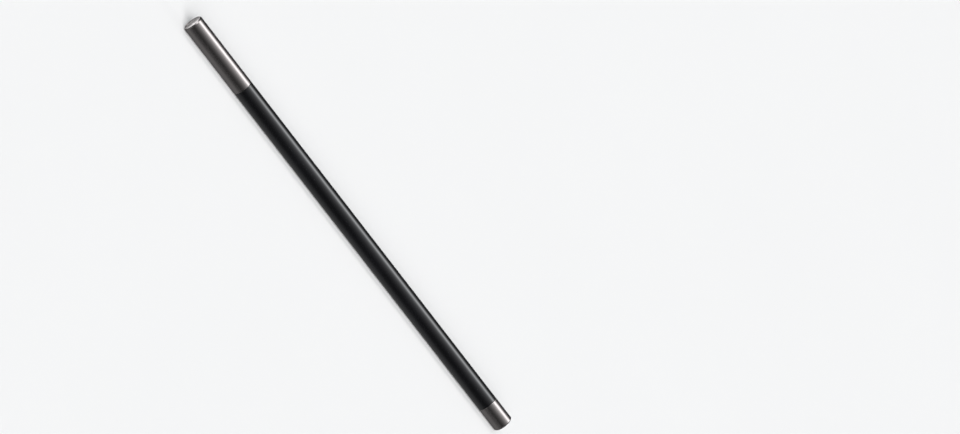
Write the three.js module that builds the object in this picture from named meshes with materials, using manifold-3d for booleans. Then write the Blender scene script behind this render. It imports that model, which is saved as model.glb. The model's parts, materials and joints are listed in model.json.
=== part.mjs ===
// A stage magician's wand that comes apart: a black-lacquered tube with a long and a short polished tip.
// It lies along X on the plane z = 0, long tip towards -X. Millimetres, +Z up.
//
// Each tip screws into the tube with a right-hand stud. A spigot on the tip's joint plug enters the tube
// first and centres the tip, an O-ring on the spigot keeps it from rattling, and a fibre washer is the seat.
import * as THREE from "three";
import { mergeVertices } from "three/addons/utils/BufferGeometryUtils.js";
import Module from "manifold-3d";

const wasm = await Module();
wasm.setup();

// Driving dimensions.
const LENGTH = 381;
const DIAMETER = 15;
const WALL = 1.2;
const LONG_TIP = 61;
const SHORT_TIP = 20;
const FACETS = 24; // flats on every turned piece, one of them facing down

// Clearances, on the radius or along the axis.
const GLUE_GAP = 0.1;
const RUNNING_GAP = 0.15;
const FACE_GAP = 0.3;
const SEAM = 0.1; // between a tip and the tube when the tip is screwed home

// The screw joint, the same at both ends. u runs outwards along the wand from the tube's end face.
const SPIGOT_LENGTH = 6;
const WASHER = { radius: 5.9, bore: 4.3, thickness: 0.8 };
const O_RING = { section: 1.44, outer: 6.22, u: -3, sides: 10 };
const GROOVE = { radius: 4.65, width: 1.9 };
const BUSH_LENGTH = 10;
const BUSH_GLUE_GROOVE = { depth: 0.5, width: 4 };
const STUD_END = -16;
const STUD_SHANK_END = 7;
const STUD_CHAMFER = 0.9;
const THREAD = { radius: 4, depth: 0.77, pitch: 1.25, segments: 16, clearance: 0.15 };

// The tips and the tube's filling.
const RIM_CHAMFER = 0.8;
const EDGE_BREAK = 0.15;
const JOINT_PLUG_LENGTH = 11;
const END_PLUG_LENGTH = 6;
const PAD_THICKNESS = 3;

const RADIUS = DIAMETER / 2;
const BORE = RADIUS - WALL;
const TUBE_START = LONG_TIP - LENGTH / 2;
const TUBE_END = LENGTH / 2 - SHORT_TIP;
const WASHER_END = -SPIGOT_LENGTH - SEAM;
const BUSH_FACE = WASHER_END - WASHER.thickness - SEAM;

const finish = (color, roughness, metalness) => new THREE.MeshStandardMaterial({ color, roughness, metalness });
const MATERIALS = {
  lacquer: finish(0x0b0b0d, 0.12, 0),
  chrome: finish(0xc9c5c2, 0.08, 1),
  brass: finish(0xc9a04c, 0.3, 1),
  steel: finish(0x9a9c9f, 0.35, 1),
  rubber: finish(0x1a1a1b, 0.7, 0),
  fibre: finish(0x8a3b2a, 0.8, 0),
  wood: finish(0xb98a55, 0.65, 0),
  felt: finish(0x3f4a44, 0.95, 0),
};

/** A solid turned about X. The outline is [radius, x] points; radii are measured to the flats. */
function turned(outline) {
  const toCorner = 1 / Math.cos(Math.PI / FACETS);
  const points = outline.map(([radius, x]) => new THREE.Vector2(radius * toCorner, x));
  return new THREE.LatheGeometry(points, FACETS, Math.PI / FACETS).rotateZ(-Math.PI / 2);
}

/** A plain turned rod. */
function rod(radius, from, to) {
  return turned([[0, from], [radius, from], [radius, to], [0, to]]);
}

/** A closed geometry as a solid that can be cut and joined. */
function toSolid(geometry) {
  const bare = geometry.clone();
  bare.deleteAttribute("normal");
  bare.deleteAttribute("uv");
  const merged = mergeVertices(bare, 1e-4);
  const corners = [];
  for (let i = 0; i < merged.index.count; i += 3) {
    const [a, b, c] = [0, 1, 2].map((k) => merged.index.getX(i + k));
    if (a !== b && b !== c && c !== a) corners.push(a, b, c);
  }
  const mesh = new wasm.Mesh({
    numProp: 3,
    vertProperties: new Float32Array(merged.attributes.position.array),
    triVerts: new Uint32Array(corners),
  });
  return new wasm.Manifold(mesh);
}

/** A solid as a plain triangle geometry. */
function toGeometry(solid) {
  const mesh = solid.getMesh();
  const geometry = new THREE.BufferGeometry();
  geometry.setAttribute("position", new THREE.BufferAttribute(new Float32Array(mesh.vertProperties), 3));
  geometry.setIndex(new THREE.BufferAttribute(new Uint32Array(mesh.triVerts), 1));
  geometry.computeVertexNormals();
  return geometry;
}

/** A right-hand screw about X that covers at least from..to, with its radii enlarged by a clearance. */
function screw(from, to, clearance) {
  const { radius, depth, pitch, segments } = THREAD;
  const crest = radius + clearance;
  const root = crest - depth;
  // One pitch of the thread form: a root flat of a quarter pitch and a crest flat of an eighth.
  const form = [[0, root], [1 / 4, root], [9 / 16, crest], [11 / 16, crest]];
  const start = Math.floor(from / pitch) - 1;
  const turns = Math.ceil(to / pitch) + 1 - start;
  const rows = turns * form.length;

  const positions = [];
  for (let row = 0; row <= rows; row++) {
    const [along, reach] = form[row % form.length];
    const turn = start + Math.floor(row / form.length) + along;
    for (let i = 0; i < segments; i++) {
      const angle = (2 * Math.PI * i) / segments;
      positions.push((turn + i / segments) * pitch, reach * Math.cos(angle), reach * Math.sin(angle));
    }
  }
  // A full turn along a row arrives one pitch further on, at the start of the row a form's length later.
  const corner = (i, row) => (i === segments ? (row + form.length) * segments : row * segments + i);
  const faces = [];
  for (let row = 0; row < rows; row++) {
    for (let i = 0; i < segments; i++) {
      if (i === segments - 1 && row >= rows - form.length) continue;
      const [a, b] = [corner(i, row), corner(i + 1, row)];
      const [c, d] = [corner(i + 1, row + 1), corner(i, row + 1)];
      faces.push(a, b, c, a, c, d);
    }
  }
  // Each end is a ring and one step of the form, closed by a fan to a point on the axis.
  const around = [...Array(segments).keys()];
  const step = [...form.keys()];
  const firstLoop = around.map((i) => corner(i, 0)).concat(step.map((k) => corner(0, form.length - k)));
  const lastLoop = around
    .map((i) => corner(segments - 1 - i, rows))
    .concat(step.map((k) => corner(segments - 1, rows - form.length + k)));
  const closeEnd = (loop, x) => {
    const centre = positions.length / 3;
    positions.push(x, 0, 0);
    loop.forEach((point, k) => faces.push(loop[(k + 1) % loop.length], point, centre));
  };
  closeEnd(firstLoop, (start - 0.5) * pitch);
  closeEnd(lastLoop, (start + turns + 1.5) * pitch);

  const geometry = new THREE.BufferGeometry();
  geometry.setAttribute("position", new THREE.Float32BufferAttribute(positions, 3));
  geometry.setIndex(faces);
  return toSolid(geometry);
}

/** The brass bush bonded inside the tube, threaded right through. */
function bush() {
  const radius = BORE - GLUE_GAP;
  const waist = radius - BUSH_GLUE_GROOVE.depth;
  const inner = BUSH_FACE - BUSH_LENGTH;
  const middle = BUSH_FACE - BUSH_LENGTH / 2;
  const half = BUSH_GLUE_GROOVE.width / 2;
  const blank = turned([
    [0, inner], [radius, inner], [radius, middle - half], [waist, middle - half],
    [waist, middle + half], [radius, middle + half], [radius, BUSH_FACE], [0, BUSH_FACE],
  ]);
  return toGeometry(toSolid(blank).subtract(screw(inner, BUSH_FACE, THREAD.clearance)));
}

/** The steel stud: threaded where it leaves the plug, plain where it is fixed in the plug. */
function stud() {
  const { radius, pitch } = THREAD;
  const shankStart = -SPIGOT_LENGTH;
  const threadEnd = shankStart + pitch / 2;
  const envelope = turned([
    [0, STUD_END], [radius - STUD_CHAMFER, STUD_END], [radius, STUD_END + STUD_CHAMFER],
    [radius, threadEnd], [0, threadEnd],
  ]);
  const thread = toSolid(envelope).intersect(screw(STUD_END, threadEnd, 0));
  const shank = turned([
    [0, shankStart], [radius - THREAD.depth, shankStart], [radius, threadEnd],
    [radius, STUD_SHANK_END], [0, STUD_SHANK_END],
  ]);
  return toGeometry(thread.add(toSolid(shank)));
}

/** The turned plug that joins a tip's sleeve to its stud, with the grooved spigot. */
function jointPlug() {
  const spigot = BORE - RUNNING_GAP;
  const body = BORE - GLUE_GAP;
  const hole = THREAD.radius + GLUE_GAP;
  const grooveStart = O_RING.u - GROOVE.width / 2;
  const grooveEnd = O_RING.u + GROOVE.width / 2;
  return turned([
    [0, STUD_SHANK_END + FACE_GAP], [hole, STUD_SHANK_END + FACE_GAP], [hole, -SPIGOT_LENGTH],
    [spigot - EDGE_BREAK, -SPIGOT_LENGTH], [spigot, -SPIGOT_LENGTH + EDGE_BREAK], [spigot, grooveStart],
    [GROOVE.radius, grooveStart], [GROOVE.radius, grooveEnd], [spigot, grooveEnd], [spigot, SEAM],
    [body, SEAM], [body, JOINT_PLUG_LENGTH], [0, JOINT_PLUG_LENGTH],
  ]);
}

/** The rubber ring in the spigot's groove. */
function oRing() {
  const minor = O_RING.section / 2;
  const major = O_RING.outer - minor;
  const outline = [];
  for (let i = 0; i <= O_RING.sides; i++) {
    const angle = (2 * Math.PI * i) / O_RING.sides;
    outline.push([major + minor * Math.cos(angle), O_RING.u + minor * Math.sin(angle)]);
  }
  return turned(outline);
}

/** The fibre washer that the spigot clamps against the bush. */
function washer() {
  const { radius, bore, thickness } = WASHER;
  const start = WASHER_END - thickness;
  return turned([[bore, start], [radius, start], [radius, WASHER_END], [bore, WASHER_END], [bore, start]]);
}

/** A tip's polished outer tube, with a chamfered rim at its free end. */
function sleeve(length) {
  return turned([
    [BORE, SEAM], [RADIUS - EDGE_BREAK, SEAM], [RADIUS, SEAM + EDGE_BREAK], [RADIUS, length - RIM_CHAMFER],
    [RADIUS - RIM_CHAMFER, length], [BORE, length], [BORE, SEAM],
  ]);
}

/** The disc-faced plug that closes a tip's free end, flush with the sleeve's rim. */
function endPlug(length) {
  const radius = BORE - GLUE_GAP;
  const inner = length - END_PLUG_LENGTH;
  return turned([
    [0, inner], [radius - EDGE_BREAK, inner], [radius, inner + EDGE_BREAK], [radius, length], [0, length],
  ]);
}

/** The black tube between the tips. */
function shaftTube() {
  return turned([
    [BORE, TUBE_START], [RADIUS - EDGE_BREAK, TUBE_START], [RADIUS, TUBE_START + EDGE_BREAK],
    [RADIUS, TUBE_END - EDGE_BREAK], [RADIUS - EDGE_BREAK, TUBE_END], [BORE, TUBE_END], [BORE, TUBE_START],
  ]);
}

/** Adds a named mesh to a group. */
function addPiece(group, name, geometry, material) {
  const mesh = new THREE.Mesh(geometry, material);
  mesh.name = name;
  group.add(mesh);
}

/** One end of the wand, with its tube end at the origin and its tip reaching along +X. */
function wandEnd(name, tipLength) {
  const end = new THREE.Group();
  addPiece(end, `${name}_end_bush`, bush(), MATERIALS.brass);
  addPiece(end, `${name}_tip_washer`, washer(), MATERIALS.fibre);
  addPiece(end, `${name}_tip_stud`, stud(), MATERIALS.steel);
  addPiece(end, `${name}_tip_o_ring`, oRing(), MATERIALS.rubber);
  addPiece(end, `${name}_tip_joint_plug`, jointPlug(), MATERIALS.brass);
  addPiece(end, `${name}_tip_sleeve`, sleeve(tipLength), MATERIALS.chrome);
  addPiece(end, `${name}_tip_end_plug`, endPlug(tipLength), MATERIALS.chrome);
  return end;
}

const wand = new THREE.Group();
wand.position.z = RADIUS;

const longEnd = wandEnd("long", LONG_TIP);
longEnd.position.x = TUBE_START;
longEnd.rotation.z = Math.PI;
const fillingRadius = BORE - RUNNING_GAP;
const tipCore = rod(fillingRadius, JOINT_PLUG_LENGTH + FACE_GAP, LONG_TIP - END_PLUG_LENGTH - FACE_GAP);
addPiece(longEnd, "long_tip_core", tipCore, MATERIALS.wood);

const shortEnd = wandEnd("short", SHORT_TIP);
shortEnd.position.x = TUBE_END;

// The filling lies between the two bushes: a dowel with a pad at each end.
const fillStart = TUBE_START - BUSH_FACE + BUSH_LENGTH + FACE_GAP;
const fillEnd = TUBE_END + BUSH_FACE - BUSH_LENGTH - FACE_GAP;
const dowelStart = fillStart + PAD_THICKNESS + FACE_GAP;
const dowelEnd = fillEnd - PAD_THICKNESS - FACE_GAP;

addPiece(wand, "shaft_tube", shaftTube(), MATERIALS.lacquer);
addPiece(wand, "long_end_pad", rod(fillingRadius, fillStart, fillStart + PAD_THICKNESS), MATERIALS.felt);
addPiece(wand, "core_dowel", rod(fillingRadius, dowelStart, dowelEnd), MATERIALS.wood);
addPiece(wand, "short_end_pad", rod(fillingRadius, fillEnd - PAD_THICKNESS, fillEnd), MATERIALS.felt);
wand.add(longEnd, shortEnd);

export default wand;
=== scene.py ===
"""A take-down stage wand: a black-lacquered tube with a long and a short polished tip that screw off.

Laid out as an add-on: sizes and colours are properties, each piece or pair of pieces has an operator,
and the sidebar panel lists them. Lengths are in metres. The wand lies along X, long tip towards -X.
"""
import json
import math

import bpy
from bpy.props import FloatProperty, FloatVectorProperty, IntProperty, PointerProperty
from mathutils import Matrix, Vector


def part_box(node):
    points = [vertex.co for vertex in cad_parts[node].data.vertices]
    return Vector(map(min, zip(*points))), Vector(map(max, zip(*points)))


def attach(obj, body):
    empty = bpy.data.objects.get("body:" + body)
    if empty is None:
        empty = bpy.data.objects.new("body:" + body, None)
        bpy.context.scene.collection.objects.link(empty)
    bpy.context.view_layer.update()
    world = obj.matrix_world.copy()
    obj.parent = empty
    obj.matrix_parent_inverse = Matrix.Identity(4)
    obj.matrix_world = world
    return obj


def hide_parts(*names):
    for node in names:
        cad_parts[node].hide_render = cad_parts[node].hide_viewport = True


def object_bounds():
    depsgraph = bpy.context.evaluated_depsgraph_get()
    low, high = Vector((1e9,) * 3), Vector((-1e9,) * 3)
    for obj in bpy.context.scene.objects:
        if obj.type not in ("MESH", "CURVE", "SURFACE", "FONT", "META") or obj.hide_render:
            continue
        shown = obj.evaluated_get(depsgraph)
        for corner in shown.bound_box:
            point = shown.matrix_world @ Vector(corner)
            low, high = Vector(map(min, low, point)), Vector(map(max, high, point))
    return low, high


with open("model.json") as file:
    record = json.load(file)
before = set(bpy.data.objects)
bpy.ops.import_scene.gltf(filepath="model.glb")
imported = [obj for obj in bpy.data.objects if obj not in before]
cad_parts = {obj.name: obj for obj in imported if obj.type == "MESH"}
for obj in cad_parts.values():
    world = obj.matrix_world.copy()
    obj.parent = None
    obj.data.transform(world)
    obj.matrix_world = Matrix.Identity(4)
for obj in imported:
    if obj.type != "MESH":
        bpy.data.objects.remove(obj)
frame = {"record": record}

bl_info = {
    "name": "Stage Wand",
    "version": (1, 0, 0),
    "blender": (4, 5, 0),
    "location": "3D View > Sidebar > Wand",
    "description": "Builds a take-down stage wand with screw-on metal tips",
    "category": "Add Mesh",
}

MM = 0.001
CAD_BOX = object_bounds()
TUBE_LOW, TUBE_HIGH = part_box("shaft_tube")
RADIUS = (TUBE_HIGH.z - TUBE_LOW.z) / 2
AXIS_HEIGHT = (TUBE_HIGH.z + TUBE_LOW.z) / 2
BODY_OF = {node: body for body, nodes in frame["record"]["behaviour"]["bodies"].items() for node in nodes}
FACE_GAP = 0.3 * MM  # kept between a piece's end and the bottom of the hole it sits in
# Each end of the wand: where the tube ends, and which way is outwards.
ENDS = {"long": (TUBE_LOW.x, -1), "short": (TUBE_HIGH.x, 1)}


def outward_span(node):
    """How far a node of the short end reaches along the wand, measured outwards from the tube's end."""
    low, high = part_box(node)
    return low.x - TUBE_HIGH.x, high.x - TUBE_HIGH.x


# ---------------------------------------------------------------- sizes and colours


def length(name, description, millimetres):
    return FloatProperty(name=name, description=description, default=millimetres * MM, min=0, unit="LENGTH",
                         subtype="DISTANCE", precision=5)


def colour(name, description, rgb):
    return FloatVectorProperty(name=name, description=description, default=rgb, size=3, min=0, max=1,
                               subtype="COLOR")


def plain(name, description, value):
    return FloatProperty(name=name, description=description, default=value, min=0)


class WandSizes(bpy.types.PropertyGroup):
    """Sizes of the pieces that the frame's boxes don't give."""

    wall: length("Wall", "Wall thickness of the tube and of the tip sleeves", 1.2)
    rim_chamfer: length("Rim chamfer", "Chamfer round the free end of each tip", 0.8)
    edge_break: length("Edge break", "Chamfer on the edges that meet at a joint", 0.15)
    edge_round: length("Edge rounding", "Radius that polishing leaves on a metal edge", 0.08)
    crown: length("Crown", "How far polishing rounds a tip's end face down at its edge", 0.2)
    glue_gap: length("Glue gap", "Gap round a piece that is glued in", 0.1)
    spigot_gap: length("Spigot gap", "Gap between a spigot and the tube's bore", 0.15)
    groove_depth: length("Groove depth", "Depth of the O-ring groove", 1.5)
    groove_width: length("Groove width", "Width of the O-ring groove", 1.9)
    pitch: length("Thread pitch", "Travel of a tip for one turn", 1.25)
    thread_depth: length("Thread depth", "Depth of the thread on the stud", 0.77)
    thread_gap: length("Thread gap", "Radial gap between the stud and the bush", 0.12)
    stud_chamfer: length("Stud chamfer", "Lead-in chamfer on the stud's end", 0.9)
    washer_bore: length("Washer bore", "Radius of the washer's hole", 4.3)
    flute_depth: length("Flute depth", "Depth of the glue flutes along the wooden cores", 0.35)
    core_round: length("Core rounding", "Rounding round the ends of a wooden core", 0.6)
    segments: IntProperty(name="Segments", description="Sides of a turned piece", default=256, min=24)


class WandColours(bpy.types.PropertyGroup):
    """Base colours of the finishes."""

    lacquer: colour("Lacquer", "Black lacquer on the tube", (0.0014, 0.0014, 0.0018))
    bare_aluminium: colour("Bare aluminium", "The tube where it isn't lacquered", (0.6, 0.61, 0.62))
    chrome: colour("Chrome", "Polished plating on the tips", (0.415, 0.391, 0.391))
    brass: colour("Brass", "Turned brass of the bushes and plugs", (0.78, 0.56, 0.24))
    steel: colour("Steel", "The threaded studs", (0.5, 0.5, 0.5))
    rubber: colour("Rubber", "The O-rings", (0.011, 0.011, 0.0115))
    fibre: colour("Fibre", "The washers", (0.14, 0.03, 0.019))
    wood: colour("Wood", "Light wood of the cores", (0.55, 0.34, 0.17))
    wood_dark: colour("Dark grain", "Dark grain of the cores", (0.27, 0.14, 0.06))
    felt: colour("Felt", "The pads at the ends of the long core", (0.06, 0.085, 0.07))
    floor: colour("Floor", "The pale floor", (0.86, 0.86, 0.86))


class WandStage(bpy.types.PropertyGroup):
    """The camera, the floor and the light."""

    distance: plain("Camera distance", "From the camera to the wand, in metres", 8.0)
    width: plain("View width", "Width of the view at the wand, in metres", 0.6864)
    lean: FloatProperty(name="Lean", description="How far the view leans towards the long tip",
                        default=math.radians(18), subtype="ANGLE", unit="ROTATION")
    height: FloatProperty(name="Height angle", description="How far the view looks down on the wand",
                          default=math.radians(25), subtype="ANGLE", unit="ROTATION")
    slope: FloatProperty(name="Slope", description="How steeply the wand falls to the right in the view",
                         default=math.radians(52.44), subtype="ANGLE", unit="ROTATION")
    aside: plain("Aside", "How far the view's middle lies to the right of the wand's, in metres", 0.0937)
    above: plain("Above", "How far the view's middle lies above the wand's, in metres", 0.0056)
    floor_light: plain("Floor light", "Strength of the soft light, in watts to the square metre", 4.5)


def sizes():
    return bpy.context.scene.wand_sizes


def colours():
    return bpy.context.scene.wand_colours


# ---------------------------------------------------------------- shader nodes


class Wire:
    """A socket that can stand in an expression. Arithmetic on it adds Math nodes."""

    def __init__(self, maker, socket):
        self.maker = maker
        self.socket = socket

    def maths(self, operation, *others):
        return self.maker.add("ShaderNodeMath", {"operation": operation}, dict(enumerate((self, *others))))

    def flipped(self, operation, other):
        return self.maker.add("ShaderNodeMath", {"operation": operation}, {0: other, 1: self})

    def __add__(self, other):
        return self.maths("ADD", other)

    __radd__ = __add__

    def __sub__(self, other):
        return self.maths("SUBTRACT", other)

    def __rsub__(self, other):
        return self.flipped("SUBTRACT", other)

    def __mul__(self, other):
        return self.maths("MULTIPLY", other)

    __rmul__ = __mul__

    def __truediv__(self, other):
        return self.maths("DIVIDE", other)

    def __pow__(self, other):
        return self.maths("POWER", other)


class Maker:
    """Fills one node tree."""

    def __init__(self, tree):
        self.tree = tree
        tree.nodes.clear()

    def add(self, kind, settings=None, inputs=None, output=0):
        """Adds a node: settings first, then its sockets' values or links. Gives one of its outputs."""
        node = self.tree.nodes.new(kind)
        settings = dict(settings or {})
        stops = settings.pop("stops", None)
        for name, value in settings.items():
            setattr(node, name, value)
        if stops:
            ramp = node.color_ramp
            ramp.interpolation = "B_SPLINE"
            while len(ramp.elements) < len(stops):
                ramp.elements.new(1.0)
            for element, (place, level) in zip(ramp.elements, stops):
                element.position = place
                element.color = (level, level, level, 1)
        for name, value in (inputs or {}).items():
            if isinstance(value, Wire):
                self.tree.links.new(value.socket, node.inputs[name])
            else:
                node.inputs[name].default_value = value
        return Wire(self, node.outputs[output]) if node.outputs else None

    def smooth(self, value, low, high):
        """0 below low, 1 above high, with a soft step between."""
        return self.add("ShaderNodeMapRange", {"interpolation_type": "SMOOTHSTEP"},
                        {"Value": value, "From Min": low, "From Max": high})

    def vector(self, x, y, z):
        return self.add("ShaderNodeCombineXYZ", inputs={"X": x, "Y": y, "Z": z})

    def noise(self, place, detail=2.0, roughness=0.5, distortion=0.0, scale=1.0):
        """Noise from 0 to 1 whose cells are one unit of the given place."""
        return self.add("ShaderNodeTexNoise", {},
                        {"Vector": place, "Scale": scale, "Detail": detail, "Roughness": roughness,
                         "Distortion": distortion})

    def mix(self, factor, first, second):
        """A colour between two colours."""
        node = self.tree.nodes.new("ShaderNodeMix")
        node.data_type = "RGBA"
        for socket, value in ((node.inputs[0], factor), (node.inputs[6], first), (node.inputs[7], second)):
            if isinstance(value, Wire):
                self.tree.links.new(value.socket, socket)
            else:
                socket.default_value = value if isinstance(value, float) else (*value, 1)
        return Wire(self, node.outputs[2])

    def place(self):
        """The point on the piece: along the wand, radius from its axis, and angle round it from the top."""
        point = self.add("ShaderNodeTexCoord", output="Object")
        along, y, z = (self.add("ShaderNodeSeparateXYZ", inputs={0: point}, output=i) for i in range(3))
        rise = z - AXIS_HEIGHT
        radius = (y * y + rise * rise).maths("SQRT")
        angle = y.maths("ARCTAN2", rise)
        return point, along, y, rise, radius, angle

    def scratches(self, along, across, scratch_length, scratch_width, share, turn):
        """A mask of thin straight scratches that run at an angle across an unrolled surface."""
        lengthwise = along * math.cos(turn) + across * math.sin(turn)
        sideways = across * math.cos(turn) - along * math.sin(turn)
        cells = self.vector(lengthwise / scratch_length, sideways / scratch_width, turn * 7)
        return self.smooth(self.noise(cells, detail=1.0), 1 - share, 1 - share + 0.06)


def surface(name, shade):
    """A material whose Principled sockets are filled by shade(maker), which returns them by name."""
    material = bpy.data.materials.new(name)
    material.use_nodes = True
    maker = Maker(material.node_tree)
    values = shade(maker)
    height = values.pop("Height", None)
    if height is not None:
        bump = {"Height": height, "Distance": 1.0, "Strength": 1.0}
        values["Normal"] = maker.add("ShaderNodeBump", {}, bump)
    shader = maker.add("ShaderNodeBsdfPrincipled", {}, values)
    maker.add("ShaderNodeOutputMaterial", {}, {"Surface": shader})
    return material


# ---------------------------------------------------------------- finishes


def chrome(maker):
    """Bright plating over a polished tube, with faint rings from the belt, hairlines and handling haze."""
    point, along, y, rise, _, angle = maker.place()
    around = angle * RADIUS
    belt = maker.noise(maker.vector(along / (0.12 * MM), around / (14 * MM), 0.0), detail=3.0)
    haze = maker.noise(point, detail=4.0, scale=1 / (17 * MM))
    hairs = maker.scratches(along, around, 16 * MM, 0.08 * MM, 0.26, 0.5)
    hairs = hairs.maths("MAXIMUM", maker.scratches(along, around, 11 * MM, 0.07 * MM, 0.25, 2.2))
    ripple = maker.noise(maker.vector(along / (30 * MM), y / (5 * MM), rise / (5 * MM)), detail=1.0)
    hazed = tuple(c * 0.95 for c in colours().chrome)
    tint = maker.mix(maker.smooth(haze, 0.35, 0.7), hazed, colours().chrome[:])
    return {
        "Base Color": tint,
        "Metallic": 1.0,
        "Roughness": 0.18 + 0.05 * haze + 0.02 * belt + 0.04 * hairs,
        "Height": 1.5e-7 * belt - 1.2e-7 * hairs + 3.0e-6 * ripple,
    }


def turned_face(maker):
    """The tips' end faces: plating over a faced disc, so rings run round its middle, with painted reflection
    streaks in its colour.
    """
    point, _, y, rise, radius, _ = maker.place()
    rings = maker.noise(maker.vector(radius / (0.09 * MM), 0.0, 0.0), detail=3.0)
    feed = (radius * (2 * math.pi / (0.16 * MM))).maths("SINE")
    haze = maker.noise(point, detail=4.0, scale=1 / (4 * MM))
    # Painted reflection: dark and light wedges round the face's middle stand in for the streaks a turned
    # face reflects.
    reflection_fan = maker.vector(y / radius * 1.7, rise / radius * 1.7, radius / (9 * MM))
    painted_reflection_streaks = maker.noise(reflection_fan, detail=2.0)
    dark, light = (tuple(c * share for c in colours().chrome) for share in (0.6, 1.05))
    tint = maker.mix(maker.smooth(painted_reflection_streaks, 0.38, 0.62), dark, light)
    return {
        "Base Color": tint,
        "Metallic": 1.0,
        "Roughness": 0.09 + 0.05 * haze + 0.04 * rings,
        "Height": 3.0e-7 * rings + 5.0e-7 * feed,
    }


def lacquer(maker):
    """Black lacquer on the outside of the tube, with bare aluminium on the cut ends and in the bore."""
    point, along, y, rise, radius, angle = maker.place()
    around = angle * RADIUS
    peel = maker.noise(point, detail=1.0, scale=1 / (1.6 * MM))
    flow = maker.noise(maker.vector(along / (40 * MM), y / (6 * MM), rise / (6 * MM)), detail=1.0)
    haze = maker.noise(point, detail=5.0, scale=1 / (24 * MM))
    hairs = maker.scratches(along, around, 22 * MM, 0.05 * MM, 0.25, 0.25)
    hairs = hairs.maths("MAXIMUM", maker.scratches(along, around, 9 * MM, 0.04 * MM, 0.24, 1.9))
    coated = maker.smooth(radius, RADIUS - 0.35 * MM, RADIUS - 0.2 * MM)
    turning = maker.noise(maker.vector(radius / (0.08 * MM), along / (0.2 * MM), 0.0), detail=2.0)
    hazed = tuple(c * 1.7 for c in colours().lacquer)
    body = maker.mix(maker.smooth(haze, 0.4, 0.75), colours().lacquer[:], hazed)
    skin = 8.0e-7 * peel + 4.0e-6 * flow - 2.0e-7 * hairs
    return {
        "Base Color": maker.mix(coated, colours().bare_aluminium[:], body),
        "Metallic": 1 - coated,
        "Roughness": 0.34 - coated * 0.25 + 0.04 * haze + 0.05 * hairs,
        "IOR": 1.5,
        "Specular Tint": (0.9, 0.94, 1.0, 1),
        "Coat Weight": coated,
        "Coat Roughness": 0.05,
        "Coat IOR": 1.5,
        "Height": coated * skin + (1 - coated) * 6.0e-7 * turning,
    }


def brass(maker):
    """Turned brass with the tool's rings, dulled in patches."""
    point, along, _, _, radius, angle = maker.place()
    rings = maker.noise(maker.vector(along / (0.1 * MM), radius / (0.1 * MM), angle * 0.2), detail=2.0)
    feed = ((along + radius) * (2 * math.pi / (0.25 * MM))).maths("SINE")
    tarnish = maker.smooth(maker.noise(point, detail=5.0, scale=1 / (5 * MM)), 0.42, 0.72)
    dull = tuple(c * k for c, k in zip(colours().brass, (0.55, 0.5, 0.5)))
    return {
        "Base Color": maker.mix(tarnish, colours().brass[:], dull),
        "Metallic": 1.0,
        "Roughness": 0.24 + 0.16 * tarnish + 0.08 * rings,
        "Height": 6.0e-7 * rings + 4.0e-7 * feed,
    }


def steel(maker):
    """Steel cut by a die: lighter at the thread's crests, darker towards its roots, and marks along the
    thread.
    """
    point, along, _, _, radius, angle = maker.place()
    crest = maker.smooth(radius, 3.3 * MM, 3.9 * MM)
    marks = maker.noise(maker.vector(along / (0.12 * MM), radius / (0.12 * MM), angle * 1.5), detail=3.0)
    stain = maker.noise(point, detail=5.0, scale=1 / (3 * MM))
    dark = tuple(c * 0.45 for c in colours().steel)
    return {
        "Base Color": maker.mix(crest * (1.15 - 0.5 * stain), dark, colours().steel[:]),
        "Metallic": 1.0,
        "Roughness": 0.42 - 0.14 * crest + 0.12 * marks,
        "Height": 1.0e-6 * marks,
    }


def rubber(maker):
    """Moulded nitrile rubber with a dusty bloom."""
    point, *_ = maker.place()
    grain = maker.noise(point, detail=4.0, scale=1 / (0.25 * MM))
    bloom = maker.smooth(maker.noise(point, detail=5.0, scale=1 / (3 * MM)), 0.45, 0.75)
    bloomed = tuple(c * 2.0 for c in colours().rubber)
    return {
        "Base Color": maker.mix(bloom, colours().rubber[:], bloomed),
        "Roughness": 0.42 + 0.2 * bloom + 0.1 * grain,
        "Height": 4.0e-6 * grain,
    }


def fibre(maker):
    """Vulcanised fibre: layered red-brown board with short strands."""
    point, along, y, rise, *_ = maker.place()
    strands = maker.noise(maker.vector(along / (0.08 * MM), y / (0.35 * MM), rise / (0.9 * MM)), detail=4.0)
    patches = maker.noise(point, detail=3.0, scale=1 / (2.2 * MM))
    light = tuple(c * 1.5 for c in colours().fibre)
    layers = maker.smooth(strands * 0.6 + patches * 0.4, 0.35, 0.65)
    return {
        "Base Color": maker.mix(layers, colours().fibre[:], light),
        "Roughness": 0.62 + 0.2 * strands,
        "Height": 8.0e-6 * strands,
    }


def wood(maker):
    """Straight-grained dowel: growth rings cut lengthwise, fine pores, and a touch of glue sheen."""
    _, along, y, rise, *_ = maker.place()
    drift = maker.noise(maker.vector(along / (60 * MM), y / (8 * MM), rise / (8 * MM)), detail=2.0)
    off_y, off_z = y + 9 * MM, rise - 14 * MM
    growth = (off_y * off_y + off_z * off_z).maths("SQRT") + drift * 2.5 * MM
    rings = (growth * (2 * math.pi / (1.7 * MM))).maths("SINE") * 0.5 + 0.5
    cells = maker.vector(along / (2.5 * MM), y / (0.12 * MM), rise / (0.12 * MM))
    pores = maker.smooth(maker.noise(cells), 0.6, 0.75)
    figure = rings ** 2.2
    return {
        "Base Color": maker.mix(figure * 0.55 + pores * 0.4, colours().wood[:], colours().wood_dark[:]),
        "Roughness": 0.58 + 0.15 * figure + 0.1 * pores,
        "Height": 1.2e-5 * figure - 2.5e-5 * pores,
    }


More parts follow.
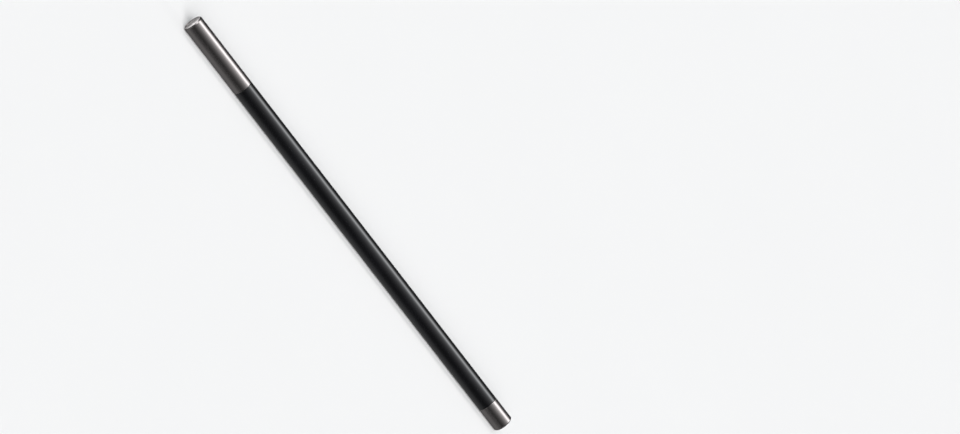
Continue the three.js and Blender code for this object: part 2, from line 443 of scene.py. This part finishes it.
def felt(maker):
    """Pressed wool felt: a tangle of fine fibres."""
    point, *_ = maker.place()
    tangle = maker.noise(point, detail=6.0, roughness=0.7, distortion=1.5, scale=1 / (0.3 * MM))
    tufts = maker.noise(point, detail=3.0, scale=1 / (1.4 * MM))
    light = tuple(c * 2.4 for c in colours().felt)
    fluff = maker.smooth(tangle * 0.7 + tufts * 0.3, 0.35, 0.7)
    return {
        "Base Color": maker.mix(fluff, colours().felt[:], light),
        "Roughness": 0.9 + 0.1 * tufts,
        "Sheen Weight": 0.5,
        "Sheen Roughness": 0.5,
        "Height": 6.0e-5 * tangle + 8.0e-5 * tufts,
    }


# ---------------------------------------------------------------- modelling


def deselect():
    """Leaves edit mode with nothing selected."""
    if bpy.context.mode != "OBJECT":
        bpy.ops.object.mode_set(mode="OBJECT")
    bpy.ops.object.select_all(action="DESELECT")


def edit(piece):
    """Opens one piece in edit mode with all of it selected."""
    deselect()
    bpy.context.view_layer.objects.active = piece
    piece.select_set(True)
    bpy.ops.object.mode_set(mode="EDIT")
    bpy.ops.mesh.select_mode(type="VERT")
    bpy.ops.mesh.select_all(action="SELECT")


def rounded(corners, steps=6, closed=False):
    """An outline of (along, radius, fillet) corners with each fillet drawn as an arc.

    A ring on either side of an arc keeps the faces beside it truly flat when they are shaded smooth.
    """
    beside = 0.03 * MM
    points = []
    for i, (along, radius, fillet) in enumerate(corners):
        here = Vector((along, radius))
        if not fillet:
            points.append(here)
            continue
        back = (Vector(corners[i - 1][:2]) - here).normalized()
        ahead = (Vector(corners[(i + 1) % len(corners)][:2]) - here).normalized()
        half = back.angle(ahead) / 2
        reach = fillet / math.tan(half)
        centre = here + (back + ahead).normalized() * (fillet / math.sin(half))
        first = here + back * reach - centre
        sweep = first.angle_signed(here + ahead * reach - centre)
        points.append(here + back * (reach + beside))
        for step in range(steps + 1):
            turn = -sweep * step / steps
            points.append(centre + Matrix.Rotation(turn, 2) @ first)
        points.append(here + ahead * (reach + beside))
    if closed:
        points.append(points[0])
    return points


def chain(name, points):
    """A new mesh object that is one chain of edges, drawn point by point in the plane through the axis."""
    deselect()
    bpy.ops.mesh.primitive_plane_add(size=MM)
    piece = bpy.context.object
    piece.name = piece.data.name = name
    edit(piece)
    bpy.ops.mesh.merge(type="CENTER")
    bpy.ops.transform.translate(value=(points[0].x, 0, points[0].y))
    for before, point in zip(points, points[1:]):
        step = point - before
        bpy.ops.mesh.extrude_vertices_move(TRANSFORM_OT_translate={"value": (step.x, 0, step.y)})
    bpy.ops.object.mode_set(mode="OBJECT")
    return piece


def close_up(piece):
    """Merges doubles and turns every face outwards."""
    edit(piece)
    bpy.ops.mesh.remove_doubles(threshold=1e-7)
    bpy.ops.mesh.dissolve_degenerate(threshold=1e-8)
    bpy.ops.mesh.select_all(action="SELECT")
    bpy.ops.mesh.normals_make_consistent(inside=False)
    bpy.ops.object.mode_set(mode="OBJECT")


def drop_spare_points(piece):
    """Dissolves the points that a cut leaves along an edge between two faces, where no third edge meets."""
    edit(piece)
    bpy.ops.mesh.select_all(action="DESELECT")
    bpy.ops.object.mode_set(mode="OBJECT")
    meeting = [0] * len(piece.data.vertices)
    for edge in piece.data.edges:
        for i in edge.vertices:
            meeting[i] += 1
    for vertex, count in zip(piece.data.vertices, meeting):
        vertex.select = count == 2
    bpy.ops.object.mode_set(mode="EDIT")
    bpy.ops.mesh.dissolve_verts()
    bpy.ops.object.mode_set(mode="OBJECT")


def turn(name, points, segments=None):
    """A solid of revolution about X: the outline is drawn as a chain of edges and spun."""
    piece = chain(name, points)
    edit(piece)
    steps = segments or sizes().segments
    bpy.ops.mesh.spin(steps=steps, angle=2 * math.pi, center=(0, 0, 0), axis=(1, 0, 0))
    close_up(piece)
    return piece


def smooth(piece, degrees=40):
    deselect()
    bpy.context.view_layer.objects.active = piece
    piece.select_set(True)
    bpy.ops.object.shade_smooth_by_angle(angle=math.radians(degrees))


def apply(piece, kind, **settings):
    """Adds a modifier to a piece and applies it."""
    deselect()
    bpy.context.view_layer.objects.active = piece
    piece.select_set(True)
    modifier = piece.modifiers.new(kind.title(), kind)
    for name, value in settings.items():
        setattr(modifier, name, value)
    bpy.ops.object.modifier_apply(modifier=modifier.name)


def combine(piece, other, operation):
    """Cuts, joins or trims a piece with another, which is used up."""
    apply(piece, "BOOLEAN", operation=operation, object=other, solver="EXACT")
    bpy.data.objects.remove(other)


def settle(piece, name, place=(0, 0, 0), half_turn=False):
    """Moves a piece to its place in the wand, with the place kept in its mesh."""
    deselect()
    bpy.context.view_layer.objects.active = piece
    piece.select_set(True)
    piece.name = piece.data.name = name
    piece.rotation_euler = (0, 0, math.pi if half_turn else 0)
    piece.location = place
    bpy.ops.object.transform_apply(location=True, rotation=True, scale=True)


def fit(piece, node, material):
    """Gives a finished piece its material and its body, and hides the node that it stands for."""
    piece.data.materials.clear()
    piece.data.materials.append(material)
    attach(piece, BODY_OF[node])
    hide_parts(node)


def copy(piece):
    """A copy of a piece with its own mesh."""
    deselect()
    bpy.context.view_layer.objects.active = piece
    piece.select_set(True)
    bpy.ops.object.duplicate(linked=False)
    return bpy.context.object


def fit_both_ends(piece, label, node, material):
    """Puts a piece, modelled with outwards along +X, at the short end, and a turned copy at the long end."""
    for end, one in (("long", copy(piece)), ("short", piece)):
        tube_end, outwards = ENDS[end]
        settle(one, f"{end}_{label}", (tube_end, 0, AXIS_HEIGHT), half_turn=outwards < 0)
        fit(one, f"{end}_{node}", material)


def bore():
    return RADIUS - sizes().wall


def stud_radius():
    low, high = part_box("short_tip_stud")
    return (high.z - low.z) / 2


def screw_form(name, start, end, extra):
    """A closed right-hand screw that reaches past two places, its radii enlarged by extra."""
    pitch = sizes().pitch
    crest = stud_radius() + extra
    root = crest - sizes().thread_depth
    first = (math.floor(start / pitch) - 2) * pitch
    turns = math.ceil((end - first) / pitch) + 2
    form = [
        (0, root, 0), (pitch / 8, root, 0.1 * MM), (pitch * 7 / 16, crest, 0.05 * MM),
        (pitch * 9 / 16, crest, 0.05 * MM), (pitch * 7 / 8, root, 0.1 * MM), (pitch, root, 0),
    ]
    outline = [(first + along, radius, fillet) for along, radius, fillet in form]
    piece = chain(name, rounded(outline, steps=2))
    apply(piece, "SCREW", axis="X", screw_offset=pitch, iterations=turns, steps=64, render_steps=64,
          use_merge_vertices=True, merge_threshold=1e-7)
    edit(piece)
    bpy.ops.mesh.remove_doubles(threshold=1e-6)
    middle = first + pitch * (turns + 1) / 2
    for side in (-1, 1):
        cap_end(piece, lambda along: (along - middle) * side > 0)
    close_up(piece)
    return piece


def cap_end(piece, at_this_end):
    """Closes one open end of a screw with a cone to a point near its axis."""
    edit(piece)
    bpy.ops.mesh.select_all(action="DESELECT")
    bpy.ops.mesh.select_non_manifold(extend=False, use_wire=False, use_multi_face=False,
                                     use_non_contiguous=False, use_verts=False)
    bpy.ops.object.mode_set(mode="OBJECT")
    vertices = piece.data.vertices
    for edge in piece.data.edges:
        edge.select = edge.select and all(at_this_end(vertices[i].co.x) for i in edge.vertices)
    for vertex in vertices:
        vertex.select = False
    for edge in piece.data.edges:
        if edge.select:
            for i in edge.vertices:
                vertices[i].select = True
    bpy.ops.object.mode_set(mode="EDIT")
    bpy.ops.mesh.select_mode(type="EDGE")
    bpy.ops.mesh.extrude_edges_move()
    bpy.ops.mesh.merge(type="CENTER")
    bpy.ops.object.mode_set(mode="OBJECT")


# ---------------------------------------------------------------- operators


class WAND_OT_tube(bpy.types.Operator):
    """Turns the black-lacquered tube between the tips"""

    bl_idname = "wand.tube"
    bl_label = "Shaft tube"
    bl_options = {"REGISTER", "UNDO"}

    def execute(self, context):
        s = sizes()
        start, end = TUBE_LOW.x, TUBE_HIGH.x
        edge, soft = s.edge_break, s.edge_round / 2
        outline = rounded([
            (start, bore(), soft), (start, RADIUS - edge, soft), (start + edge, RADIUS, s.edge_round),
            (end - edge, RADIUS, s.edge_round), (end, RADIUS - edge, soft), (end, bore(), soft),
        ], steps=4, closed=True)
        tube = turn("lacquered_tube", outline)
        smooth(tube)
        settle(tube, "lacquered_tube", (0, 0, AXIS_HEIGHT))
        fit(tube, "shaft_tube", surface("black_lacquer", lacquer))
        return {"FINISHED"}


class WAND_OT_sleeves(bpy.types.Operator):
    """Turns the polished sleeves of the two tips"""

    bl_idname = "wand.sleeves"
    bl_label = "Tip sleeves"
    bl_options = {"REGISTER", "UNDO"}

    def execute(self, context):
        s = sizes()
        plating = surface("polished_chrome", chrome)
        for end, (tube_end, outwards) in ENDS.items():
            low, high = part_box(f"{end}_tip_sleeve")
            near, far = sorted(((low.x - tube_end) * outwards, (high.x - tube_end) * outwards))
            outline = rounded([
                (near, bore(), s.edge_round / 2), (near, RADIUS - s.edge_break, s.edge_round / 2),
                (near + s.edge_break, RADIUS, s.edge_round),
                (far - s.rim_chamfer, RADIUS, s.edge_round * 2),
                (far, RADIUS - s.rim_chamfer, s.edge_round * 1.5), (far, bore(), s.edge_round / 2),
            ], closed=True)
            sleeve = turn(f"{end}_sleeve", outline)
            smooth(sleeve)
            settle(sleeve, f"{end}_polished_sleeve", (tube_end, 0, AXIS_HEIGHT), half_turn=outwards < 0)
            fit(sleeve, f"{end}_tip_sleeve", plating)
        return {"FINISHED"}


class WAND_OT_end_plugs(bpy.types.Operator):
    """Turns the plugs whose flat faces close the tips"""

    bl_idname = "wand.end_plugs"
    bl_label = "End plugs"
    bl_options = {"REGISTER", "UNDO"}

    def execute(self, context):
        s = sizes()
        low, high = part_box("short_tip_end_plug")
        radius = bore() - s.glue_gap
        depth = high.x - low.x
        # The back is hollowed, a little narrower at the bottom than at the mouth.
        recess, recess_floor, recess_mouth = 3.4 * MM, radius * 0.55, radius * 0.6
        outline = rounded([
            (recess - depth, 0, 0), (recess - depth, recess_floor, s.edge_round),
            (-depth, recess_mouth, s.edge_round), (-depth, radius - s.edge_break, s.edge_round / 2),
            (s.edge_break - depth, radius, s.edge_round / 2),
        ])
        rings = 12
        outline += [Vector((-s.crown * (k / rings) ** 2, radius * k / rings)) for k in range(rings, -1, -1)]
        plug = turn("end_plug", outline)
        smooth(plug)
        material = surface("turned_end_chrome", turned_face)
        for end, one in (("long", copy(plug)), ("short", plug)):
            low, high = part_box(f"{end}_tip_sleeve")
            face = low.x if end == "long" else high.x
            settle(one, f"{end}_faced_plug", (face, 0, AXIS_HEIGHT), half_turn=end == "long")
            fit(one, f"{end}_tip_end_plug", material)
        return {"FINISHED"}


class WAND_OT_joint_plugs(bpy.types.Operator):
    """Turns the grooved plugs that join the tips to their studs"""

    bl_idname = "wand.joint_plugs"
    bl_label = "Joint plugs"
    bl_options = {"REGISTER", "UNDO"}

    def execute(self, context):
        s = sizes()
        start, end = outward_span("short_tip_joint_plug")
        ring_start, ring_end = outward_span("short_tip_o_ring")
        seam = outward_span("short_tip_sleeve")[0]
        hole = stud_radius() + s.glue_gap
        hole_end = outward_span("short_tip_stud")[1] + FACE_GAP
        spigot, body = bore() - s.spigot_gap, bore() - s.glue_gap
        middle = (ring_start + ring_end) / 2
        floor = spigot - s.groove_depth
        left, right = middle - s.groove_width / 2, middle + s.groove_width / 2
        soft = s.edge_round / 2
        outline = rounded([
            (hole_end, 0, 0), (hole_end, hole, soft), (start, hole, s.edge_round),
            (start, spigot - s.edge_break, soft), (start + s.edge_break, spigot, soft),
            (left, spigot, soft), (left, floor, s.edge_round * 2),
            (right, floor, s.edge_round * 2), (right, spigot, soft),
            (seam, spigot, 0), (seam, body, 0), (end, body, s.edge_round), (end, 0, 0),
        ], steps=4)
        plug = turn("joint_plug", outline, segments=160)
        smooth(plug)
        fit_both_ends(plug, "grooved_plug", "tip_joint_plug", surface("turned_brass", brass))
        return {"FINISHED"}


class WAND_OT_studs(bpy.types.Operator):
    """Cuts the right-hand threaded studs"""

    bl_idname = "wand.studs"
    bl_label = "Studs"
    bl_options = {"REGISTER", "UNDO"}

    def execute(self, context):
        s = sizes()
        start, end = outward_span("short_tip_stud")
        plug_face = outward_span("short_tip_joint_plug")[0]
        radius = stud_radius()
        relief = radius - s.thread_depth - 0.15 * MM
        thread_end, shoulder = plug_face - 0.1 * MM, plug_face + 0.6 * MM
        # The blank stands a little proud of the thread's crest and of the shank, so no two faces coincide.
        proud = 0.05 * MM
        stud = screw_form("stud", start, thread_end, 0.0)
        blank = turn("stud_blank", rounded([
            (start, 0, 0), (start, radius - s.stud_chamfer, s.edge_round),
            (start + s.stud_chamfer + proud, radius + proud, 0),
            (thread_end - s.stud_chamfer, radius + proud, 0), (thread_end, relief + proud, 0),
            (thread_end, 0, 0),
        ], steps=3), segments=90)
        combine(stud, blank, "INTERSECT")
        shank = turn("stud_shank", rounded([
            (thread_end - s.pitch / 2, 0, 0), (thread_end - s.pitch / 2, relief, 0),
            (shoulder - (radius - relief), relief, s.edge_round * 3), (shoulder, radius, s.edge_round),
            (end - s.edge_break, radius, s.edge_round), (end, radius - s.edge_break, s.edge_round / 2),
            (end, 0, 0),
        ], steps=3), segments=98)
        combine(stud, shank, "UNION")
        close_up(stud)
        drop_spare_points(stud)
        smooth(stud, 32)
        fit_both_ends(stud, "threaded_stud", "tip_stud", surface("stud_steel", steel))
        return {"FINISHED"}


class WAND_OT_bushes(bpy.types.Operator):
    """Turns the bushes glued inside the tube and taps them"""

    bl_idname = "wand.bushes"
    bl_label = "Threaded bushes"
    bl_options = {"REGISTER", "UNDO"}

    def execute(self, context):
        s = sizes()
        start, end = outward_span("short_end_bush")
        radius = bore() - s.glue_gap
        middle, half, waist = (start + end) / 2, 2 * MM, radius - 0.5 * MM
        bush = turn("bush", rounded([
            (start, 0, 0), (start, radius, s.edge_round), (middle - half, radius, s.edge_round),
            (middle - half, waist, s.edge_round), (middle + half, waist, s.edge_round),
            (middle + half, radius, s.edge_round), (end, radius, s.edge_round), (end, 0, 0),
        ], steps=3), segments=128)
        tap = screw_form("tap", start - s.pitch / 2, end + s.pitch / 2, s.thread_gap)
        combine(bush, tap, "DIFFERENCE")
        mouth = stud_radius() + s.thread_gap + 0.1 * MM
        sink_depth = s.thread_depth + 0.2 * MM
        for name, face, inwards in (("outer_sink", end, -1), ("inner_sink", start, 1)):
            outside, bottom = face - inwards * MM, face + inwards * sink_depth
            cone = [
                (outside, 0), (outside, mouth), (face, mouth), (bottom, mouth - sink_depth), (bottom, 0),
            ]
            sink = turn(name, [Vector(point) for point in cone], segments=98)
            combine(bush, sink, "DIFFERENCE")
        close_up(bush)
        drop_spare_points(bush)
        smooth(bush, 32)
        fit_both_ends(bush, "tapped_bush", "end_bush", surface("bush_brass", brass))
        return {"FINISHED"}


class WAND_OT_o_rings(bpy.types.Operator):
    """Moulds the O-rings, each with the faint ridge of its mould's parting line"""

    bl_idname = "wand.o_rings"
    bl_label = "O-rings"
    bl_options = {"REGISTER", "UNDO"}

    def execute(self, context):
        start, end = outward_span("short_tip_o_ring")
        low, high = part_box("short_tip_o_ring")
        outer = (high.z - low.z) / 2
        groove_floor = bore() - sizes().spigot_gap - sizes().groove_depth
        half_width = (end - start) / 2
        half_height = (outer - groove_floor) / 2 - 0.01 * MM
        sides, ridge_share, ridge_sharpness = 32, 0.02, 40
        outline = []
        for i in range(sides + 1):
            angle = 2 * math.pi * i / sides
            ridge = 1 + ridge_share * (abs(math.cos(angle)) ** ridge_sharpness - 1)
            outline.append(Vector(((start + end) / 2 + half_width * ridge * math.sin(angle),
                                   outer - half_height + half_height * ridge * math.cos(angle))))
        ring = turn("ring", outline, segments=160)
        smooth(ring, 60)
        fit_both_ends(ring, "rubber_ring", "tip_o_ring", surface("o_ring_rubber", rubber))
        return {"FINISHED"}


class WAND_OT_washers(bpy.types.Operator):
    """Punches the fibre washers"""

    bl_idname = "wand.washers"
    bl_label = "Washers"
    bl_options = {"REGISTER", "UNDO"}

    def execute(self, context):
        s = sizes()
        start, end = outward_span("short_tip_washer")
        low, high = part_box("short_tip_washer")
        radius = (high.z - low.z) / 2
        burr, soft = 0.05 * MM, 0.12 * MM
        washer = turn("washer", rounded([
            (start, s.washer_bore + burr, soft), (start, radius - burr, soft), (end, radius, soft / 2),
            (end, s.washer_bore, soft / 2),
        ], closed=True), segments=160)
        smooth(washer)
        fit_both_ends(washer, "fibre_washer", "tip_washer", surface("red_fibre", fibre))
        return {"FINISHED"}


class WAND_OT_cores(bpy.types.Operator):
    """Shapes the fluted wooden cores of the tube and of the long tip"""

    bl_idname = "wand.cores"
    bl_label = "Wooden cores"
    bl_options = {"REGISTER", "UNDO"}

    flutes: IntProperty(name="Flutes", description="Glue flutes round a core", default=16, min=3)
    sides_per_flute: IntProperty(name="Sides per flute", description="Sides of a core for each flute",
                                 default=8, min=2)

    def execute(self, context):
        timber = surface("straight_grained_wood", wood)
        for node, name in (("core_dowel", "fluted_dowel"), ("long_tip_core", "long_tip_dowel")):
            low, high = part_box(node)
            core = self.dowel(name, low.x, high.x, (high.z - low.z) / 2)
            settle(core, name)
            fit(core, node, timber)
        return {"FINISHED"}

    def dowel(self, name, start, end, radius):
        """A round bar with V-shaped flutes along it and rounded ends."""
        count = self.flutes * self.sides_per_flute
        deselect()
        bpy.ops.mesh.primitive_cylinder_add(
            vertices=count, radius=radius, depth=end - start,
            location=((start + end) / 2, 0, AXIS_HEIGHT), rotation=(0, math.pi / 2, 0))
        core = bpy.context.object
        bpy.ops.object.transform_apply(location=True, rotation=True, scale=True)
        for vertex in core.data.vertices:
            angle = math.atan2(vertex.co.z - AXIS_HEIGHT, vertex.co.y)
            vertex.select = round(angle / (2 * math.pi) * count) % self.sides_per_flute == 0
        for edge in core.data.edges:
            edge.select = False
        for face in core.data.polygons:
            face.select = False
        bpy.ops.object.mode_set(mode="EDIT")
        bpy.ops.mesh.select_mode(type="VERT")
        shrink = 1 - sizes().flute_depth / radius
        bpy.context.scene.tool_settings.transform_pivot_point = "MEDIAN_POINT"
        bpy.ops.transform.resize(value=(1, shrink, shrink))
        bpy.ops.object.mode_set(mode="OBJECT")
        for edge in core.data.edges:
            ends = [core.data.vertices[i].co.x for i in edge.vertices]
            edge.select = abs(ends[0] - ends[1]) < 1e-6
        for face in core.data.polygons:
            face.select = False
        bpy.ops.object.mode_set(mode="EDIT")
        bpy.ops.mesh.select_mode(type="EDGE")
        bpy.ops.mesh.bevel(offset=sizes().core_round, segments=3, affect="EDGES")
        bpy.ops.object.mode_set(mode="OBJECT")
        smooth(core, 30)
        return core


class WAND_OT_pads(bpy.types.Operator):
    """Cuts the felt pads at the ends of the long core"""

    bl_idname = "wand.pads"
    bl_label = "Felt pads"
    bl_options = {"REGISTER", "UNDO"}

    def execute(self, context):
        wool = surface("pressed_felt", felt)
        tufts = bpy.data.textures.new("tufts", "CLOUDS")
        tufts.noise_scale = 0.9 * MM
        # The pads are cut a little small, which leaves room for their tufts.
        room, tuft_height, soft = 0.06 * MM, 0.1 * MM, 0.5 * MM
        for end in ENDS:
            node = f"{end}_end_pad"
            low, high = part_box(node)
            radius = (high.z - low.z) / 2 - room
            near, far = low.x + room, high.x - room
            front = [Vector((near, radius * i / 8)) for i in range(7)]
            back = [Vector((far, radius * i / 8)) for i in range(6, -1, -1)]
            rim = rounded([
                (near, radius * 0.8, 0), (near, radius, soft), (far, radius, soft), (far, radius * 0.8, 0),
            ])
            pad = turn(node, front + rim + back, segments=96)
            apply(pad, "DISPLACE", texture=tufts, strength=tuft_height, mid_level=0.5,
                  texture_coords="LOCAL")
            smooth(pad, 80)
            settle(pad, f"{end}_felt_pad", (0, 0, AXIS_HEIGHT))
            fit(pad, node, wool)
        return {"FINISHED"}


class WAND_OT_stage(bpy.types.Operator):
    """Sets the pale floor, the soft light and the camera"""

    bl_idname = "wand.stage"
    bl_label = "Floor, light and camera"
    bl_options = {"REGISTER", "UNDO"}

    def execute(self, context):
        self.floor()
        self.dome()
        self.floor_light()
        self.camera()
        context.scene.view_settings.view_transform = "Standard"
        return {"FINISHED"}

    def floor(self):
        deselect()
        radius, thickness = 12, 0.05
        bpy.ops.mesh.primitive_circle_add(vertices=96, radius=radius, fill_type="NGON")
        floor = bpy.context.object
        floor.name = floor.data.name = "pale_floor"
        bpy.ops.object.mode_set(mode="EDIT")
        bpy.ops.mesh.select_all(action="SELECT")
        bpy.ops.mesh.extrude_region_move(TRANSFORM_OT_translate={"value": (0, 0, -thickness)})
        bpy.ops.mesh.select_all(action="SELECT")
        bpy.ops.mesh.normals_make_consistent(inside=False)
        bpy.ops.object.mode_set(mode="OBJECT")

        def card(maker):
            point = maker.add("ShaderNodeTexCoord", output="Object")
            mottle = maker.noise(point, detail=3.0, scale=6.0)
            pale = colours().floor[:]
            return {"Base Color": maker.mix(mottle, tuple(c * 0.985 for c in pale), pale), "Roughness": 0.9}

        floor.data.materials.append(surface("pale_card", card))
        floor.visible_glossy = False

    def dome(self):
        """A studio dome whose brightness changes with the angle round the wand, and three pale cards."""
        world = bpy.data.worlds.new("studio_dome")
        bpy.context.scene.world = world
        world.use_nodes = True
        maker = Maker(world.node_tree)
        direction = maker.add("ShaderNodeTexCoord", output="Generated")
        _, y, z = (maker.add("ShaderNodeSeparateXYZ", inputs={0: direction}, output=i) for i in range(3))
        round_wand = z.maths("ARCTAN2", y * -1) / (2 * math.pi) + 0.5
        # Degrees round the wand from straight in front, through overhead, to behind; then brightness.
        view = math.degrees(bpy.context.scene.wand_stage.height)
        glow = [
            (-180, 0.16), (view - 128, 0.2), (view - 90, 0.27), (view - 74, 0.22), (view - 60, 0.12),
            (view - 44, 0.05), (view - 20, 0.045), (view, 0.1), (view + 22, 0.25), (view + 44, 0.55),
            (view + 62, 1.2), (view + 75, 3.9), (view + 84, 3.0), (view + 96, 0.6), (view + 109, 0.05),
            (view + 140, 0.04), (180, 0.1),
        ]
        brightest = 5.0
        stops = [((angle + 180) / 360, level / brightest) for angle, level in glow]
        ramp = maker.add("ShaderNodeValToRGB", {"stops": stops}, {"Fac": round_wand})
        # Pale cards low beyond the tips light up their end faces: one behind the long tip, a pair in front.
        behind = self.near(maker, direction, (-0.62, 0.71, -0.33))
        ramp = maker.mix(maker.smooth(behind, 0.84, 0.88), ramp, (0.09, 0.09, 0.09))
        ramp = maker.mix(maker.smooth(behind, 0.942, 0.962), ramp, (0.5, 0.5, 0.5))
        either_side = maker.add("ShaderNodeVectorMath", {"operation": "ABSOLUTE"}, {0: direction})
        x = maker.add("ShaderNodeSeparateXYZ", inputs={0: either_side})
        in_front = self.near(maker, maker.vector(x, y, z), (0.68, -0.68, -0.26))
        ramp = maker.mix(maker.smooth(in_front, 0.925, 0.98), ramp, (0.16, 0.16, 0.16))
        studio = maker.add("ShaderNodeBackground", {}, {"Color": ramp, "Strength": brightest})
        room = maker.add("ShaderNodeBackground", {}, {"Color": (0.9, 0.95, 1.0, 1), "Strength": 0.16})
        backdrop = maker.add("ShaderNodeBackground", {}, {"Color": (0.86, 0.86, 0.86, 1), "Strength": 1.0})
        seen = maker.add("ShaderNodeLightPath", output="Is Camera Ray")
        diffuse = maker.add("ShaderNodeLightPath", output="Is Diffuse Ray")
        lit = maker.add("ShaderNodeMixShader", {}, {0: diffuse, 1: studio, 2: room})
        both = maker.add("ShaderNodeMixShader", {}, {0: seen, 1: lit, 2: backdrop})
        maker.add("ShaderNodeOutputWorld", {}, {"Surface": both})

    def near(self, maker, direction, middle):
        """How near a direction is to the middle of a card, as the cosine of the angle between them."""
        return maker.add("ShaderNodeVectorMath", {"operation": "DOT_PRODUCT"},
                         {0: direction, 1: Vector(middle).normalized()}, output=1)

    def floor_light(self):
        deselect()
        bpy.ops.object.light_add(type="SUN", location=(0, -2, 1.2), rotation=(math.radians(58), 0, 0))
        lamp = bpy.context.object
        lamp.name = lamp.data.name = "broad_front_light"
        lamp.data.angle = math.radians(42)
        lamp.data.energy = bpy.context.scene.wand_stage.floor_light
        lamp.visible_glossy = False
        lamp.visible_camera = False

    def camera(self):
        s = bpy.context.scene.wand_stage
        lean, height, slope = s.lean, s.height, s.slope
        across = Vector((0, -math.cos(height), math.sin(height)))
        back = -math.sin(lean) * Vector((1, 0, 0)) + math.cos(lean) * across
        along = math.cos(lean) * Vector((1, 0, 0)) + math.sin(lean) * across
        side = Vector((0, math.sin(height), math.cos(height)))
        right = math.cos(slope) * along + math.sin(slope) * side
        up = math.cos(slope) * side - math.sin(slope) * along
        middle = (CAD_BOX[0] + CAD_BOX[1]) / 2
        target = middle + right * s.aside + up * s.above
        deselect()
        bpy.ops.object.camera_add()
        camera = bpy.context.object
        camera.name = camera.data.name = "camera"
        camera.data.sensor_width = 36
        camera.data.lens = camera.data.sensor_width * s.distance / s.width
        camera.data.clip_start, camera.data.clip_end = 0.1, 60
        turned = Matrix((right, up, back)).transposed().to_4x4()
        camera.matrix_world = Matrix.Translation(target + back * s.distance) @ turned
        bpy.context.scene.camera = camera


class WAND_PT_panel(bpy.types.Panel):
    """Lists the wand's operators, sizes and colours"""

    bl_idname = "WAND_PT_panel"
    bl_label = "Stage Wand"
    bl_space_type = "VIEW_3D"
    bl_region_type = "UI"
    bl_category = "Wand"

    def draw(self, context):
        for operator in OPERATORS:
            self.layout.operator(operator.bl_idname)
        for group in (context.scene.wand_sizes, context.scene.wand_colours, context.scene.wand_stage):
            box = self.layout.box()
            for name in group.__annotations__:
                box.prop(group, name)


GROUPS = {"wand_sizes": WandSizes, "wand_colours": WandColours, "wand_stage": WandStage}
OPERATORS = (
    WAND_OT_tube, WAND_OT_sleeves, WAND_OT_end_plugs, WAND_OT_joint_plugs, WAND_OT_studs, WAND_OT_bushes,
    WAND_OT_o_rings, WAND_OT_washers, WAND_OT_cores, WAND_OT_pads, WAND_OT_stage,
)


def register():
    for kind in (*GROUPS.values(), *OPERATORS, WAND_PT_panel):
        bpy.utils.register_class(kind)
    for name, group in GROUPS.items():
        setattr(bpy.types.Scene, name, PointerProperty(type=group))


def unregister():
    for name in GROUPS:
        delattr(bpy.types.Scene, name)
    for kind in (WAND_PT_panel, *reversed(OPERATORS), *reversed(GROUPS.values())):
        bpy.utils.unregister_class(kind)


def main():
    register()
    for operator in OPERATORS:
        family, name = operator.bl_idname.split(".")
        getattr(getattr(bpy.ops, family), name)()


if __name__ == "__main__":
    main()
